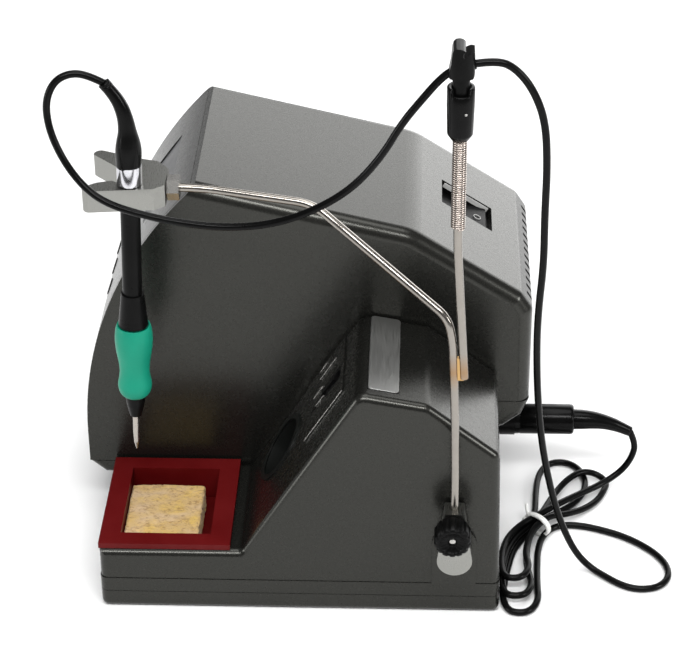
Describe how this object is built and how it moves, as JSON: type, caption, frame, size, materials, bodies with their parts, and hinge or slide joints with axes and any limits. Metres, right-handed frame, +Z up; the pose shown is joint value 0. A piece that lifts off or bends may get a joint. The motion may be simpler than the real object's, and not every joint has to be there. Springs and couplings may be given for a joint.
{
  "type": "soldering iron station",
  "caption": "Soldering iron station: control unit with a side iron stand, bent-rod arm with fork, hanging iron, lead and sponge tray.",
  "frame": {"origin": "centre of the iron stand's flat underside, on the bench", "axes": "+X towards the stand's outer side, away from the control unit; -Y the front; +Z up"},
  "size_m": [0.2507, 0.3488, 0.3615],
  "materials": {
    "unit_plastic": "satin charcoal paint on a moulded shell",
    "stand_plastic": "satin charcoal paint",
    "belly_plastic": "dark moulded, fine texture",
    "panel_plastic": "semi-gloss grey",
    "black_plastic": "moulded black",
    "window": "smoked display window",
    "display": "display module",
    "circuit": "green circuit board",
    "component": "black electronic parts",
    "steel": "bright steel",
    "braze": "heat-tinted braze",
    "copper": "enamelled copper winding",
    "aluminium": "machined",
    "chrome": "polished",
    "silicone": "red silicone",
    "sponge": "cellulose sponge",
    "grip": "green soft grip",
    "black_rubber": "black rubber",
    "tie": "white twist tie"
  },
  "bodies": {
    "station": {"main_shell": "unit_plastic", "stand_shell": "stand_plastic", "stand_base": "stand_plastic", "lower_shell": "belly_plastic", "front_panel": "panel_plastic", "tip_change_plate": "panel_plastic", "rocker_housing": "black_plastic", "mains_inlet": "black_plastic", "tip_change_insert": "black_plastic", "plug_body": "black_plastic", "cleaner_well": "black_plastic", "display_window": "window", "display_module": "display", "panel_boards": "circuit", "main_board": "circuit", "board_components": "component", "case_screws": "steel", "clamp_bolt": "steel", "board_standoffs": "steel", "inlet_pins": "steel", "transformer_core": "steel", "ballast_plate": "steel", "earth_jack": "braze", "transformer_coil": "copper", "rod_clamp": "aluminium", "heat_sink": "aluminium", "nameplate": "aluminium", "lead_socket": "aluminium", "plug_ring": "aluminium", "sponge_tray": "silicone", "sponge": "sponge", "station_lead": "black_rubber", "cord_hank": "black_rubber", "plug_lead": "black_rubber", "plug_boot": "black_rubber", "rubber_feet": "black_rubber", "hank_tie": "tie"},
    "arm": {"arm_rod": "steel", "cable_rod": "steel", "braze_joint": "braze", "lead_spring": "steel", "spring_sleeve": "black_plastic", "lead_clip": "black_plastic", "iron_holder": "aluminium", "arm_nut": "steel", "handle_lead_b": "black_rubber"},
    "iron": {"iron_collar": "chrome", "handle_tube": "black_plastic", "iron_grip": "grip", "iron_nose": "black_plastic", "tip_cartridge": "steel", "cartridge_socket": "aluminium", "iron_boot": "black_rubber", "handle_lead_a": "black_rubber"},
    "knob": {"clamp_knob": "black_plastic", "clamp_screw": "steel"},
    "rocker": {"power_rocker": "black_plastic"},
    "key_down": {"button_down": "black_plastic"},
    "key_set": {"button_set": "black_plastic"},
    "key_up": {"button_up": "black_plastic"}
  },
  "joints": [
    {"name": "arm_swing", "type": "hinge", "parent": "station", "child": "arm", "pos_m": [0.0515, 0.088, 0.07], "axis": [0, 0, 1], "range_deg": [-12, 60]},
    {"name": "iron_lift_out", "type": "slide", "parent": "arm", "child": "iron", "axis": [-0.66, -0.7513, 0], "range_m": [0, 0.045]},
    {"name": "knob_turn", "type": "hinge", "parent": "station", "child": "knob", "pos_m": [0.0573, 0.087, 0.0685], "axis": [1, 0, 0], "continuous": true},
    {"name": "power_rock", "type": "hinge", "parent": "station", "child": "rocker", "pos_m": [-0.118, 0.09068, 0.17263], "axis": [1, 0, 0], "range_deg": [-16, 0]},
    {"name": "key_down_press", "type": "slide", "parent": "station", "child": "key_down", "axis": [0, 0.9455, -0.3256], "range_m": [0, 0.0012], "stiffness_N_per_m": 400, "springref_m": -0.001},
    {"name": "key_set_press", "type": "slide", "parent": "station", "child": "key_set", "axis": [0, 0.9455, -0.3256], "range_m": [0, 0.0012], "stiffness_N_per_m": 400, "springref_m": -0.001},
    {"name": "key_up_press", "type": "slide", "parent": "station", "child": "key_up", "axis": [0, 0.9455, -0.3256], "range_m": [0, 0.0012], "stiffness_N_per_m": 400, "springref_m": -0.001}
  ]
}
